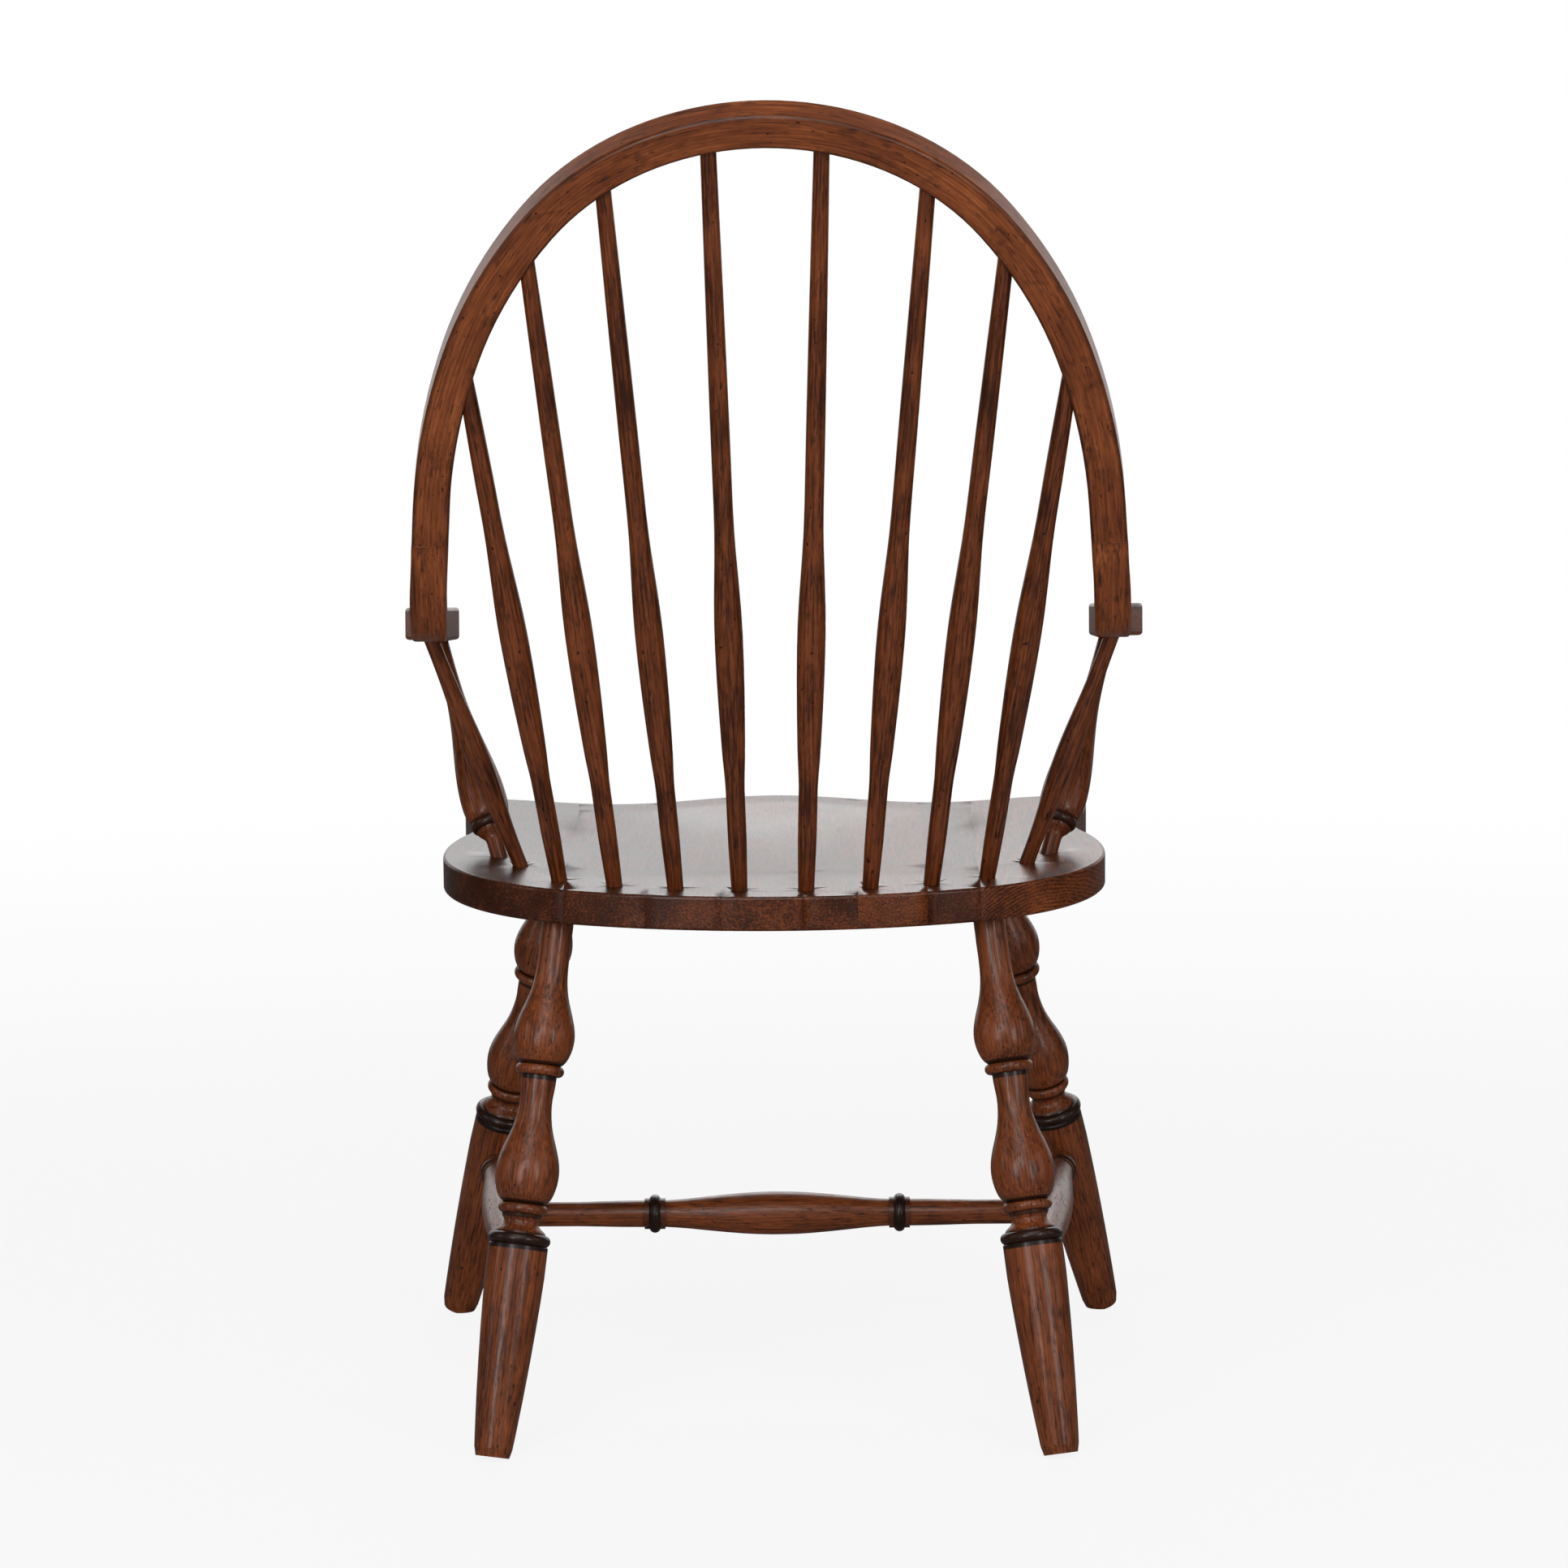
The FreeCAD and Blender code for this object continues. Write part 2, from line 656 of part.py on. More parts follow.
def stretcher(start, end, tenon_start, end_radius, neck_radius, swell_radius, bead_radius, bead_offset):
    """Stretcher with a swell in the middle and a bead group on each side.

    It runs between two axes; its ends reach to tenon_start from each of them.
    """
    half = (end - start).Length / 2 - tenon_start
    fillet_radius = neck_radius + (bead_radius - neck_radius) * stretcher_fillet_rise
    group_half = stretcher_bead_width / 2 + stretcher_fillet_width
    inner = bead_offset - group_half
    outer = bead_offset + group_half
    taper = (half - stretcher_tenon_length - outer) * stretcher_end_taper
    piece = Turning(-half, end_radius)
    piece.to(-outer - taper, end_radius)
    piece.ease((-outer, neck_radius, stretcher_swell_fullness))
    for side, edge in ((-1, outer), (1, inner)):
        piece.to(side * edge, fillet_radius)
        piece.to(side * edge + stretcher_fillet_width, fillet_radius)
        piece.bead(stretcher_bead_width, bead_radius)
        piece.to(side * bead_offset + group_half, fillet_radius)
        piece.to(side * bead_offset + group_half, neck_radius)
        if side < 0:
            piece.ease((0, swell_radius, stretcher_swell_fullness),
                       (inner, neck_radius, stretcher_swell_fullness))
    piece.ease((outer + taper, end_radius, stretcher_swell_fullness))
    piece.to(half, end_radius)
    return piece.solid((start + end) / 2, end)


# The whole chair

def leg_line(socket, splay, rake, hand, back):
    """Socket point on the seat's underside, and middle of the foot's end."""
    down = Vector(hand * tan(radians(splay)), back * tan(radians(rake)), -1).normalize()
    through = Vector(hand * socket[0], socket[1], leg_socket_height)
    lean = math.acos(-down.z)
    foot_height = (foot_radius - foot_chamfer) * sin(lean) - foot_flat
    top = seat_bottom_along(through, down)
    return top, top + down * ((foot_height - top.z) / down.z)


def at_height(line, height):
    """Point of a leg's axis at a height."""
    top, foot = line
    return top + (foot - top) * ((height - top.z) / (foot.z - top.z))


def chair():
    """Every piece of the chair by name, each bored for what it holds."""
    pieces = {}
    seat = carved_seat()
    hoop = bow()
    sides = (("left", 1), ("right", -1))
    seat_bores = []
    bow_bores = []
    legs = {}
    for name, hand in sides:
        for end, socket, splay, rake, back in (("front", front_socket, front_splay, front_rake, -1),
                                               ("rear", rear_socket, rear_splay, rear_rake, 1)):
            line = leg_line(socket, splay, rake, hand, back)
            legs[end, name] = line
            pieces[f"leg_{end}_{name}"] = leg(*line)
            seat_bores.append(bore(*line, -leg_tenon_length - bore_spare, leg_neck_length,
                                   leg_neck_radius))

    middles = {}
    for name, hand in sides:
        front = at_height(legs["front", name], stretcher_height)
        rear = at_height(legs["rear", name], stretcher_height)
        tenon_start = leg_body_radius - stretcher_tenon_length
        side = stretcher(front, rear, tenon_start, side_end_radius, side_neck_radius,
                         side_swell_radius, side_bead_radius, side_bead_offset)
        depth = tenon_start - bore_spare
        for end, near, far in (("front", front, rear), ("rear", rear, front)):
            cutter = bore(near, far, depth, 2 * leg_body_radius, side_end_radius)
            pieces[f"leg_{end}_{name}"] = pieces[f"leg_{end}_{name}"].cut(cutter)
        middles[name] = (front + rear) / 2
        pieces[f"side_stretcher_{name}"] = side

    tenon_start = side_swell_radius - centre_tenon_length
    pieces["centre_stretcher"] = stretcher(
        middles["right"], middles["left"], tenon_start, centre_end_radius,
        centre_neck_radius, centre_swell_radius, centre_bead_radius, centre_bead_offset)
    for name, other in (("left", "right"), ("right", "left")):
        cutter = bore(middles[name], middles[other], tenon_start - bore_spare,
                      2 * side_swell_radius, centre_end_radius)
        pieces[f"side_stretcher_{name}"] = pieces[f"side_stretcher_{name}"].cut(cutter)

    spindles = []
    for foot, turn in zip(back_spindle_feet, back_spindle_heads):
        for hand in (1, -1):
            place = hoop_point(turn, bow_width / 2)
            head = on_bow((hand * place[0], place[1]), bow_thickness / 2)
            spindles.append((on_seat(hand * foot[0], foot[1]), head))
    spindles.sort(key=lambda line: -line[0].x)
    for number, (foot, head) in enumerate(spindles, 1):
        pieces[f"back_spindle_{number}"] = back_spindle(foot, head)
        length = (head - foot).Length
        seat_bores.append(bore(foot, head, -spindle_foot_tenon - bore_spare, 2 * spindle_foot_radius,
                               spindle_foot_radius))
        bow_bores.append(bore(foot, head, length - 2 * bow_width,
                              length + spindle_past_middle + bore_spare, spindle_head_radius))

    for name, hand in sides:
        block = arm(hand)
        for kind, make, foot, head_y, radius in (
                ("spindle", arm_spindle, arm_spindle_foot, arm_spindle_head, arm_spindle_end_radius),
                ("post", arm_post, arm_post_foot, arm_post_head, arm_post_end_radius)):
            foot_point = on_seat(hand * foot[0], foot[1])
            head_point = on_arm(hand, head_y)
            length = (head_point - foot_point).Length
            pieces[f"arm_{kind}_{name}"] = make(foot_point, head_point)
            seat_bores.append(bore(foot_point, head_point, -arm_tenon_length - bore_spare,
                                   2 * radius, radius))
            block = block.cut(bore(foot_point, head_point, length - 2 * radius,
                                   length + arm_tenon_length + bore_spare, radius))
        dowels = []
        for place in joint_dowels(hand):
            dowels.append(Part.makeCylinder(joint_dowel_radius, 2 * joint_dowel_reach,
                                            place - bow_up * joint_dowel_reach, bow_up))
            socket = bore(place, place + bow_up, -joint_dowel_reach - bore_spare,
                          joint_dowel_reach + bore_spare, joint_dowel_radius)
            block = block.cut(socket)
            bow_bores.append(socket)
        pieces[f"arm_dowels_{name}"] = Part.makeCompound(dowels)
        pieces[f"arm_{name}"] = block

    pieces["bow"] = hoop.cut(bow_bores)
    pieces.update(seat_boards(seat.cut(seat_bores)))
    return pieces


def centred(pieces):
    """The pieces, moved along Y until the chair's footprint is centred."""
    boxes = [piece.optimalBoundingBox(True, False) for piece in pieces.values()]
    middle = (min(box.YMin for box in boxes) + max(box.YMax for box in boxes)) / 2
    for piece in pieces.values():
        piece.translate(Vector(0, -middle, 0))
    print(f"moved along Y by {-middle:.2f}, height {max(box.ZMax for box in boxes):.2f}")
    return pieces


os.makedirs("parts", exist_ok=True)
for node, piece in centred(chair()).items():
    print(node, len(piece.Solids), piece.isValid(), round(piece.Volume / 1000, 1))
    piece.exportStep(f"parts/{node}.step")
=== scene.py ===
import math
import random

import bmesh
import bpy
import numpy as np
from mathutils import Matrix, Vector


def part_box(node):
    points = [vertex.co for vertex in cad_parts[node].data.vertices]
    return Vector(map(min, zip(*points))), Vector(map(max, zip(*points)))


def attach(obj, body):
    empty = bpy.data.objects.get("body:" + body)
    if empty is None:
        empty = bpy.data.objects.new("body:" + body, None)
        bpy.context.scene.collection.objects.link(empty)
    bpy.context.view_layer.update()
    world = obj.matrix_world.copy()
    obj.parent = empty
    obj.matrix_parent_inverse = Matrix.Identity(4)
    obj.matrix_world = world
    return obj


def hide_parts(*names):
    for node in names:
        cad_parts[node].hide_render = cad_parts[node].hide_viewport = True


# Looks of the bow-back armchair: stained and lacquered wood on every CAD node.
# Metres, in the frame of the CAD part: +X the sitter's left, +Y the back, +Z up.

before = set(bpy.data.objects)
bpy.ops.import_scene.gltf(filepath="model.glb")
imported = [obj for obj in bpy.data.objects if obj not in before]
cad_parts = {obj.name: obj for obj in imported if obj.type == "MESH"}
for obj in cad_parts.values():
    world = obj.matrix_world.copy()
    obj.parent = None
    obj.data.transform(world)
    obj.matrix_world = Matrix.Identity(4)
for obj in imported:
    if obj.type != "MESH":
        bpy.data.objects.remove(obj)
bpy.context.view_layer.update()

# Bow, in its leaning plane
bow_top = Vector((0.0, 0.35326, 1.0505))    # top of the rear face
bow_recline = math.radians(27.78)
bow_width = 0.028
bow_thickness = 0.0265
crown_radius = 0.229
crown_turn = 52.0
shoulder_radius = 0.394
shoulder_turn = 71.5
flank_radius = 0.571
flank_turn = 86.0
bow_leg_length = 0.04
bow_up = Vector((0, math.sin(bow_recline), math.cos(bow_recline)))
bow_back = Vector((0, math.cos(bow_recline), -math.sin(bow_recline)))

# Arms, along the middle of their thickness
joint_middle = Vector((0.2599, 0.17706, 0.71232))   # rear face of the joint, left side
arm_fall = math.radians(7.0)
arm_bend_radius = 0.069
arm_above_bend = 0.0527
arm_reach = 0.35
arm_drift = 0.026
paddle_widening = 0.0156
paddle_start = 0.33         # along the arm from the joint
paddle_full = 0.40

# Dark bands on turned pieces: place, half width and depth of each band. On the beads and collars
# they are the wood's dark colour; in the legs' grooves beside the rings they are gathered stain and
# painted shade.
leg_bands = [(0.1334, 0.0016, 0.8), (0.1444, 0.0018, 0.9), (0.2429, 0.0016, 0.8),
             (0.2532, 0.0018, 0.75), (0.2712, 0.0048, 0.9), (0.2775, 0.0022, 0.97)]
arm_post_bands = [(0.041, 0.0045, 0.8)]
side_stretcher_bands = [(0.164, 0.0085, 0.7)]
centre_stretcher_bands = [(0.0995, 0.0050, 0.93), (0.0995, 0.0085, 0.5)]

# Seat staves from the sitter's left to right: how light each is, and how ringed
stave_tones = [-0.27, -0.24, -0.22, -0.14, -0.20, -0.07, -0.20, -0.16]
stave_rings = [0.05, 0.06, 0.05, 0.05, 0.08, 0.07, 0.04, 0.26]
stave_apart = 0.9           # between the staves' places in the wood
pith_above_floor = 0.435

# Colours of the stained wood; the darkest also paints shade in the legs' grooves and along the bent
# wood's edges
near_black_brown = (0.006, 0.0022, 0.0012)
dark_stain = (0.036, 0.0082, 0.0024)
warm_stain = (0.205, 0.0500, 0.0125)
light_stain = (0.380, 0.1080, 0.0290)
bare_wood = (0.56, 0.38, 0.22)
bare_fibre = (0.42, 0.27, 0.14)

# Grain: waves in a metre, across the wood and along it
sway_grain = (14.0, 2.2)
wander_grain = (46.0, 3.5)
streak_grain = (560.0, 26.0)
fibre_grain = (1500.0, 90.0)
cloud_grain = (34.0, 15.0)
blotch_grain = (120.0, 60.0)
pore_grain = (900.0, 75.0)
speck_grain = (330.0, 210.0)
# The next grain sets the patches in the painted shade along the bent wood's edges
edge_shade_grain = (60.0, 16.0)
dowel_grain = (900.0, 60.0)
sway_reach = 0.010
rings_per_metre = 360.0
ring_wander = 3.0           # in rings
pore_depth = 0.0003

# Merged copies of the CAD pieces
joined_within = 0.00001
sharp_from = math.radians(35)

# Studio
floor_radius = 7.0
floor_paper = (0.66, 0.66, 0.66)
floor_beyond = (0.05, 0.05, 0.05)
soft_fill = 0.12
lit_middle = (0, 0, 0.6)
camera_place = (-0.0413, 5.2754, 1.2962)
camera_ahead = (0.006128, -0.98891, -0.14843)
camera_roll = math.radians(-0.429)
camera_lens = 154.08


# Shader sums

class Value:
    """A value that a node gives out, to be used in sums like a number."""

    def __init__(self, tree, socket):
        self.tree = tree
        self.socket = socket

    def sum(self, operation, *terms):
        return add_node(self.tree, "ShaderNodeMath", 0, dict(enumerate(terms)), operation=operation)

    def __add__(self, other):
        return self.sum("ADD", self, other)

    def __sub__(self, other):
        return self.sum("SUBTRACT", self, other)

    def __mul__(self, other):
        return self.sum("MULTIPLY", self, other)

    def __pow__(self, other):
        return self.sum("POWER", self, other)

    def __radd__(self, other):
        return self.sum("ADD", other, self)

    def __rsub__(self, other):
        return self.sum("SUBTRACT", other, self)

    def __rmul__(self, other):
        return self.sum("MULTIPLY", other, self)

    def __abs__(self):
        return self.sum("ABSOLUTE", self)

    def larger(self, other):
        return self.sum("MAXIMUM", self, other)

    def sine(self):
        return self.sum("SINE", self)

    def ramp(self, low, high):
        """Rises smoothly from 0 at low to 1 at high; low may be the larger."""
        if low > high:
            return 1.0 - self.ramp(high, low)
        return add_node(self.tree, "ShaderNodeMapRange", 0,
                        {"Value": self, "From Min": low, "From Max": high},
                        interpolation_type="SMOOTHSTEP")


def feed(tree, place, term):
    """Link a value to an input, or set the input to a plain number or colour."""
    if isinstance(term, Value):
        tree.links.new(term.socket, place)
    elif isinstance(term, tuple) and len(place.default_value) == 4:
        place.default_value = (*term, 1.0)
    else:
        place.default_value = term


def add_node(tree, kind, output, inputs, **settings):
    """A node of any kind, its settings first and then its inputs, and one of its outputs."""
    node = tree.nodes.new(kind)
    for name, value in settings.items():
        setattr(node, name, value)
    for place, term in inputs.items():
        feed(tree, node.inputs[place], term)
    return Value(tree, node.outputs[output])


def parts(place):
    """The three numbers of a vector."""
    first = add_node(place.tree, "ShaderNodeSeparateXYZ", 0, {0: place})
    return [Value(place.tree, output) for output in first.socket.node.outputs]


class Finish:
    """One material and its nodes."""

    def __init__(self, name):
        self.material = bpy.data.materials.new(name)
        self.material.use_nodes = True
        self.tree = self.material.node_tree
        self.surface = self.tree.nodes["Principled BSDF"]

    def node(self, kind, output, inputs, **settings):
        return add_node(self.tree, kind, output, inputs, **settings)

    def mix(self, share, first, second):
        """Colour between two colours."""
        return self.node("ShaderNodeMix", 2, {0: share, 6: first, 7: second}, data_type="RGBA")

    def noise(self, place, grain, detail=2.0, roughness=0.5):
        """Noise drawn out along the grain, which runs along the Z of place."""
        across, along = grain
        drawn = self.node("ShaderNodeVectorMath", 0, {0: place, 1: (across, across, along)},
                          operation="MULTIPLY")
        return self.node("ShaderNodeTexNoise", 0, {
            "Vector": drawn, "Scale": 1.0, "Detail": detail, "Roughness": roughness})

    def own_place(self):
        """Place on the piece, in the frame's metres."""
        return self.node("ShaderNodeTexCoord", "Object", {})

    def set(self, name, term):
        feed(self.tree, self.surface.inputs[name], term)

    def bump(self, height, strength, depth):
        self.set("Normal", self.node("ShaderNodeBump", 0, {
            "Height": height, "Strength": strength, "Distance": depth}))


# Wood

def lacquered_wood(finish, place, heart, tone=0.0, stain_and_shade=None, ring_share=0.10, relief=1.0):
    """Stained wood with its grain along Z of place, its pith at heart.

    The tone shifts the colour lighter or darker, the fifth argument is a mask of
    places painted darker (dark beads, stain and painted shade in the legs' grooves,
    painted shade along the bent wood's edges), and the relief is how deep the pores show.
    """
    across_x, across_y, _ = parts(place)
    sway = finish.noise(place, sway_grain)
    far_x = across_x - heart[0] + (sway - 0.5) * sway_reach
    far_y = across_y - heart[1]
    distance = (far_x * far_x + far_y * far_y) ** 0.5
    wander = finish.noise(place, wander_grain, 3.0)
    rings = distance * rings_per_metre + wander * ring_wander
    ring = (rings * math.tau).sine() * 0.5 + 0.5
    streak = finish.noise(place, streak_grain, 3.0, 0.62)
    fibre = finish.noise(place, fibre_grain, 2.0, 0.6)
    cloud = finish.noise(place, cloud_grain, 3.0, 0.55)
    blotch = finish.noise(place, blotch_grain, 3.0, 0.6)
    figure = ring * ring_share + streak * 1.00 + fibre * 0.35 + cloud * 0.70 - 0.58 + tone
    colour = finish.mix(figure.ramp(0.12, 0.66), dark_stain, warm_stain)
    colour = finish.mix(figure.ramp(0.58, 1.02), colour, light_stain)
    colour = finish.mix(blotch.ramp(0.52, 0.70) * 0.48, colour, dark_stain)
    pore = finish.noise(place, pore_grain, 1.0)
    pore_mask = pore.ramp(0.575, 0.665) * (0.35 + 0.65 * blotch.ramp(0.40, 0.60))
    colour = finish.mix(pore_mask * 0.62, colour, near_black_brown)
    speck = finish.noise(place, speck_grain, 0.0)
    speck_mask = speck.ramp(0.80, 0.84)
    colour = finish.mix(speck_mask * 0.85, colour, near_black_brown)
    # Darker where the mask says: dark beads, stain and painted shade in the legs' grooves, painted
    # shade along the bent wood's edges
    if stain_and_shade is not None:
        colour = finish.mix(stain_and_shade, colour, near_black_brown)
    finish.set("Base Color", colour)
    finish.set("Roughness", 0.33 + 0.10 * cloud + 0.16 * relief * pore_mask)
    finish.set("Specular IOR Level", 0.26)
    finish.set("Coat Weight", 0.30 - 0.22 * relief * pore_mask)
    finish.set("Coat Roughness", 0.22)
    finish.set("Coat IOR", 1.45)
    height = fibre * 0.2 + streak * 0.3 - pore_mask - speck_mask
    finish.bump(height, 0.3 * relief, pore_depth)


def dark_bands(reach, bands):
    """Dark bands, each a place, a half width and a depth: stain, and painted shade in the legs'
    grooves.
    """
    stain_and_shade = None
    for place, half_width, depth in bands:
        band = abs(reach - place).ramp(half_width * 1.35, half_width * 0.8) * depth
        stain_and_shade = band if stain_and_shade is None else stain_and_shade.larger(band)
    return stain_and_shade


def wear_material(piece, material):
    """Give a piece its material in place of the one it came with."""
    piece.data.materials.clear()
    piece.data.materials.append(material)


# Turned pieces: the CAD nodes themselves, with a finish along each one's axis

def vertices_of(piece):
    """Places of a piece's mesh points, one to a row."""
    points = np.empty(len(piece.data.vertices) * 3)
    piece.data.vertices.foreach_get("co", points)
    return points.reshape(-1, 3)


def ends_of(node):
    """Lower and upper end of a turned piece's axis, or right and left of a level one."""
    points = vertices_of(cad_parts[node])
    centre = points.mean(0)
    some_points = (points - centre)[::7]
    axis = np.linalg.svd(some_points, full_matrices=False)[2][0]
    upright = abs(axis[2]) > 0.5
    axis = axis * np.sign(axis[2] if upright else axis[np.argmax(abs(axis))])
    reach = (points - centre) @ axis
    return Vector(centre + axis * reach.min()), Vector(centre + axis * reach.max())


def turned_piece(node, tone, bands, measured_from):
    """Material of a turned piece: its grain and its dark bands follow its axis."""
    base, tip = ends_of(node)
    length = (tip - base).length
    spin = Matrix.Rotation(chance.uniform(0, math.tau), 3, "Z")
    turn = spin @ (tip - base).to_track_quat("Z", "Y").to_matrix().transposed()
    shift = -(turn @ base)
    finish = Finish(node + "_wood")
    place = finish.node("ShaderNodeMapping", 0, {
        "Vector": finish.own_place(), "Rotation": tuple(turn.to_euler()), "Location": tuple(shift)})
    along = parts(place)[2]
    reach = {"foot": along, "top": length - along, "middle": abs(along - length / 2)}
    stain_and_shade = dark_bands(reach[measured_from], bands)
    heart = (chance.uniform(0.02, 0.06), chance.uniform(-0.03, 0.03))
    lacquered_wood(finish, place, heart, tone, stain_and_shade)
    wear_material(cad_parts[node], finish.material)


chance = random.Random(7)
for node in ("leg_front_left", "leg_front_right", "leg_rear_left", "leg_rear_right"):
    turned_piece(node, chance.uniform(-0.04, 0.02), leg_bands, "top")
for number in range(1, 9):
    turned_piece(f"back_spindle_{number}", chance.uniform(-0.12, -0.05), [], "foot")
for hand in ("left", "right"):
    turned_piece(f"arm_spindle_{hand}", -0.04, [], "foot")
    turned_piece(f"arm_post_{hand}", -0.02, arm_post_bands, "foot")
    turned_piece(f"side_stretcher_{hand}", 0.0, side_stretcher_bands, "middle")
turned_piece("centre_stretcher", 0.0, centre_stretcher_bands, "middle")


# Seat, bow and arms: merged copies of the CAD pieces stand for them

def merged_copy(node, name):
    """A copy of a CAD node with its triangles joined and its shading evened out."""
    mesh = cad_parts[node].data.copy()
    joined = bmesh.new()
    joined.from_mesh(mesh)
    bmesh.ops.remove_doubles(joined, verts=joined.verts, dist=joined_within)
    joined.to_mesh(mesh)
    joined.free()
    mesh.shade_smooth()
    mesh.set_sharp_from_angle(angle=sharp_from)
    piece = bpy.data.objects.new(name, mesh)
    bpy.context.scene.collection.objects.link(piece)
    even = piece.modifiers.new("even_shading", "WEIGHTED_NORMAL")
    even.weight = 100
    even.keep_sharp = True
    seen = piece.evaluated_get(bpy.context.evaluated_depsgraph_get())
    piece.data = bpy.data.meshes.new_from_object(seen)
    piece.modifiers.clear()
    return piece


def stave_wood(node, number, tone, ring_share):
    """Material of a seat stave, its grain from front to back."""
    low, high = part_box(node)
    finish = Finish(node + "_wood")
    place = finish.node("ShaderNodeMapping", 0, {
        "Vector": finish.own_place(), "Rotation": (math.radians(90), 0, 0),
        "Location": (-(low.x + high.x) / 2, pith_above_floor, number * stave_apart)})
    heart = (chance.uniform(-0.03, 0.03), chance.choice((-1, 1)) * chance.uniform(0.03, 0.07))
    lacquered_wood(finish, place, heart, tone, None, ring_share, 0.2)
    return finish.material


for number, (tone, ring_share) in enumerate(zip(stave_tones, stave_rings), start=1):
    node = f"seat_board_{number}"
    grained = stave_wood(node, number, tone, ring_share)
    piece = merged_copy(node, node + "_grained")
    wear_material(piece, grained)
    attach(piece, "root")
    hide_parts(node)


# Bow and arms: their copies carry the run of the grain round the bends

def walk(turns, step=0.004):
    """Points of a chain of arcs and lines in a plane, from its start at zero.

    Each turn is a radius, or None for a line, and its length; the chain sets
    out along the first axis and bends towards the second.
    """
    points = [(0.0, 0.0)]
    heading = 0.0
    for radius, length in turns:
        count = max(2, round(length / step))
        for _ in range(count):
            bend = 0.0 if radius is None else length / count / radius
            middle = heading + bend / 2
            x, y = points[-1]
            points.append((x + math.cos(middle) * length / count,
                           y + math.sin(middle) * length / count))
            heading += bend
    return np.array(points)


def follow(line, places):
    """How far along a line each place lies, also before and past its ends, and how far aside."""
    steps = np.diff(line, axis=0)
    lengths = np.linalg.norm(steps, axis=1)
    ways = steps / lengths[:, None]
    before = np.concatenate([[0.0], np.cumsum(lengths)[:-1]])
    end_steps = (0, len(ways) - 1)
    along = np.empty(len(places))
    aside = np.empty(len(places))
    for number, place in enumerate(places):
        offset = place - line[:-1]
        reached = (offset * ways).sum(1)
        ahead = np.clip(reached, 0, lengths)
        foot = line[:-1] + ways * ahead[:, None]
        nearest = np.argmin(((place - foot) ** 2).sum(1))
        within = reached if nearest in end_steps else ahead
        along[number] = before[nearest] + within[nearest]
        way, gap = ways[nearest], offset[nearest]
        aside[number] = way[0] * gap[1] - way[1] * gap[0]
    return along, aside


def carry_grain(piece, places, section):
    """Store each vertex's place in the straight wood, and in its cross-section."""
    for name, values in (("grain", places), ("section", section)):
        kept = piece.data.attributes.new(name, "FLOAT_VECTOR", "POINT")
        kept.data.foreach_set("vector", np.asarray(values, np.float32).ravel())


def hoop_grain(piece):
    """Grain of the bow, down both sides from the top of its middle line."""
    middle = bow_width / 2
    line = []
    turned = 0.0
    for radius, turn in ((crown_radius, crown_turn), (shoulder_radius, shoulder_turn),
                         (flank_radius, flank_turn)):
        line.append((radius - middle, (radius - middle) * math.radians(turn - turned)))
        turned = turn
    side = walk(line + [(None, bow_leg_length)])
    from_top = vertices_of(piece) - np.array(bow_top)
    flat = np.stack([abs(from_top[:, 0]), -from_top @ np.array(bow_up) - middle], axis=1)
    along, aside = follow(side, flat)
    through = from_top @ np.array(bow_back) + bow_thickness / 2
    hand = np.where(from_top[:, 0] < 0, -1.0, 1.0)
    places = np.stack([aside, through, along * hand + 3.0], axis=1)
    section = np.stack([aside / (bow_width / 2), through / (bow_thickness / 2), along], axis=1)
    carry_grain(piece, places, section)


def arm_grain(piece, hand):
    """Grain of an arm, from the joint through the bend to the paddle."""
    turn = math.radians(90) - bow_recline - arm_fall
    inner_radius = arm_bend_radius - bow_thickness / 2
    side = walk([(None, arm_above_bend), (inner_radius, inner_radius * turn), (None, arm_reach)])
    start = joint_middle - bow_back * (bow_thickness / 2)
    from_joint = vertices_of(piece) - np.array([0, start.y, start.z])
    flat = np.stack([-from_joint @ np.array(bow_up), -from_joint @ np.array(bow_back)], axis=1)
    along, aside = follow(side, flat)
    flare = np.clip((along - paddle_start) / (paddle_full - paddle_start), 0, 1)
    widening = paddle_widening * flare * flare * (3 - 2 * flare)
    beyond = np.clip(along - arm_above_bend, 0, None)
    middle = joint_middle.x + beyond * arm_drift
    sideways = from_joint[:, 0] * hand - middle
    places = np.stack([sideways, aside, along + 6.0 + hand], axis=1)
    across = (sideways - widening / 2) / (bow_width / 2 + widening / 2)
    section = np.stack([across, aside / (bow_thickness / 2), along], axis=1)
    carry_grain(piece, places, section)


def bent_wood():
    """Material of bow and arms: painted shade darkens them along their four edges."""
    finish = Finish("bow_wood")
    place = finish.node("ShaderNodeAttribute", "Vector", {}, attribute_name="grain")
    section = finish.node("ShaderNodeAttribute", "Vector", {}, attribute_name="section")
    across, through, _ = parts(section)
    # Painted shade: darker towards the four rounded edges, in patches
    edge_shade_noise = finish.noise(place, edge_shade_grain, 3.0)
    near_edge = abs(across).ramp(0.72, 0.95) * abs(through).ramp(0.72, 0.95)
    stain_and_shade = near_edge * (0.30 + 0.5 * edge_shade_noise)
    lacquered_wood(finish, place, (0.045, 0.02), 0.10, stain_and_shade, relief=0.5)
    return finish.material


bent = bent_wood()
for node in ("bow", "arm_left", "arm_right"):
    piece = merged_copy(node, node + "_grained")
    if node == "bow":
        hoop_grain(piece)
    else:
        arm_grain(piece, 1 if node == "arm_left" else -1)
    wear_material(piece, bent)
    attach(piece, "root")
    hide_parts(node)


# Dowels across the joints: bare wood

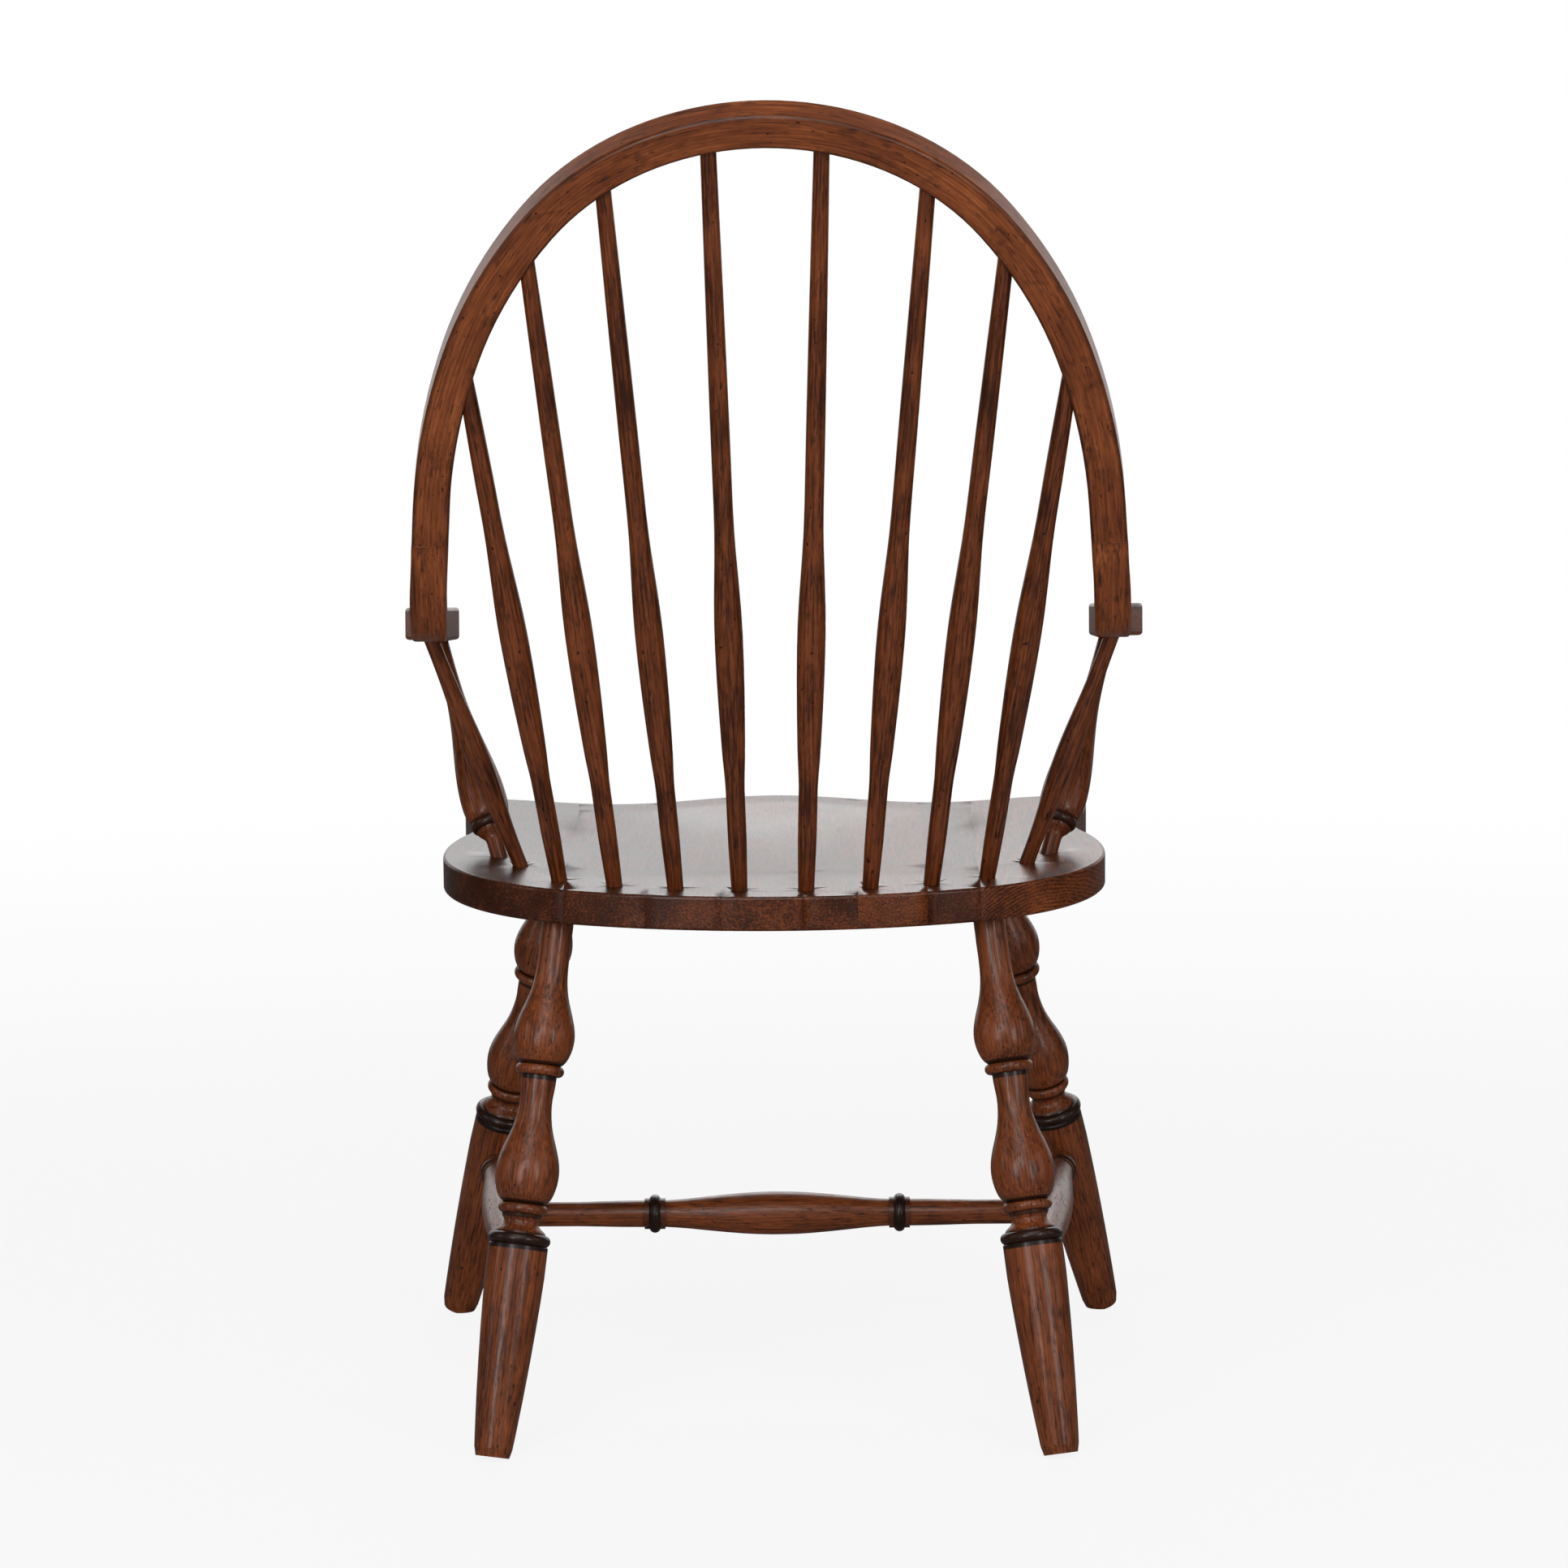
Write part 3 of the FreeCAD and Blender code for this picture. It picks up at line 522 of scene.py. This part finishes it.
dowel = Finish("dowel_wood_bare")
dowel_fibre = dowel.noise(dowel.own_place(), dowel_grain, 3.0)
dowel.set("Base Color", dowel.mix(dowel_fibre.ramp(0.3, 0.7), bare_fibre, bare_wood))
dowel.set("Roughness", 0.62 + 0.2 * dowel_fibre)
for hand in ("left", "right"):
    wear_material(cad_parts[f"arm_dowels_{hand}"], dowel.material)


# Studio

def soft_box(name, place, width, height, glow):
    """A rectangular light that looks at the chair; its glow is as seen, 1 being white."""
    light = bpy.data.lights.new(name, "AREA")
    light.shape = "RECTANGLE"
    light.size = width
    light.size_y = height
    light.energy = glow * math.pi * width * height
    lamp = bpy.data.objects.new(name, light)
    lamp.location = place
    way = Vector(lit_middle) - Vector(place)
    lamp.rotation_euler = way.to_track_quat("-Z", "Y").to_euler()
    bpy.context.scene.collection.objects.link(lamp)


def pale_floor():
    """A pale floor that fades into the white round it."""
    bpy.ops.mesh.primitive_circle_add(vertices=96, radius=floor_radius, fill_type="NGON")
    floor = bpy.context.object
    floor.name = "floor"
    finish = Finish("floor_white")
    x, y, _ = parts(finish.own_place())
    far = ((x * x + y * y) ** 0.5).ramp(0.9, 3.5)
    paper = abs(x).ramp(1.6, 1.1)
    seen = finish.node("ShaderNodeLightPath", "Is Camera Ray", {})
    shone = finish.node("ShaderNodeLightPath", "Is Glossy Ray", {})
    pale = paper * (1.0 - 0.8 * shone)
    finish.set("Base Color", finish.mix(pale, floor_beyond, floor_paper))
    finish.set("Roughness", 0.9)
    lit = Value(finish.tree, finish.surface.outputs[0])
    white = finish.node("ShaderNodeEmission", 0, {})
    both = finish.node("ShaderNodeMixShader", 0, {0: seen * (0.88 + 0.12 * far), 1: lit, 2: white})
    feed(finish.tree, finish.tree.nodes["Material Output"].inputs[0], both)
    floor.data.materials.append(finish.material)
    return floor


def white_surroundings():
    """World: white to the camera, a white backdrop in reflections, dim as a light."""
    world = bpy.data.worlds.new("white_room")
    bpy.context.scene.world = world
    world.use_nodes = True
    tree = world.node_tree
    seen = add_node(tree, "ShaderNodeLightPath", "Is Camera Ray", {})
    shone = add_node(tree, "ShaderNodeLightPath", "Is Glossy Ray", {})
    ahead = parts(add_node(tree, "ShaderNodeTexCoord", "Generated", {}))[1]
    shine = 0.02 + 0.98 * ahead.ramp(-0.66, -0.80)
    strength = seen + shone * shine + (1.0 - seen - shone) * soft_fill
    backdrop = tree.nodes["Background"]
    feed(tree, backdrop.inputs["Strength"], strength)
    feed(tree, backdrop.inputs["Color"], (1.0, 1.0, 1.0))


def photo_camera():
    """The camera, at the photograph's angle."""
    camera = bpy.data.cameras.new("camera")
    camera.lens = camera_lens
    camera.sensor_width = 36.0
    viewer = bpy.data.objects.new("camera", camera)
    ahead = Vector(camera_ahead).normalized()
    right = ahead.cross(Vector((0, 0, 1))).normalized()
    above = right.cross(ahead)
    across = right * math.cos(camera_roll) + above * math.sin(camera_roll)
    upward = above * math.cos(camera_roll) - right * math.sin(camera_roll)
    turn = Matrix((across, upward, -ahead)).transposed().to_4x4()
    viewer.matrix_world = Matrix.Translation(camera_place) @ turn
    bpy.context.scene.collection.objects.link(viewer)
    return viewer


floor = pale_floor()
white_surroundings()
soft_box("front_box", (0.3, 4.2, 2.7), 2.0, 1.4, 4.6)
soft_box("left_strip", (1.5, 3.4, 1.2), 0.75, 1.8, 7.6)
soft_box("right_strip", (-2.1, 3.0, 1.2), 0.75, 1.8, 6.4)
soft_box("left_side", (3.1, 0.9, 1.3), 0.8, 2.0, 1.6)
soft_box("right_side", (-3.1, 0.9, 1.3), 0.8, 2.0, 1.4)
soft_box("top_box", (0, 1.6, 3.2), 2.4, 1.8, 2.2)
soft_box("far_box", (0, -3.4, 2.3), 2.6, 1.6, 2.6)
bpy.context.scene.camera = photo_camera()
bpy.context.scene.view_settings.view_transform = "Standard"
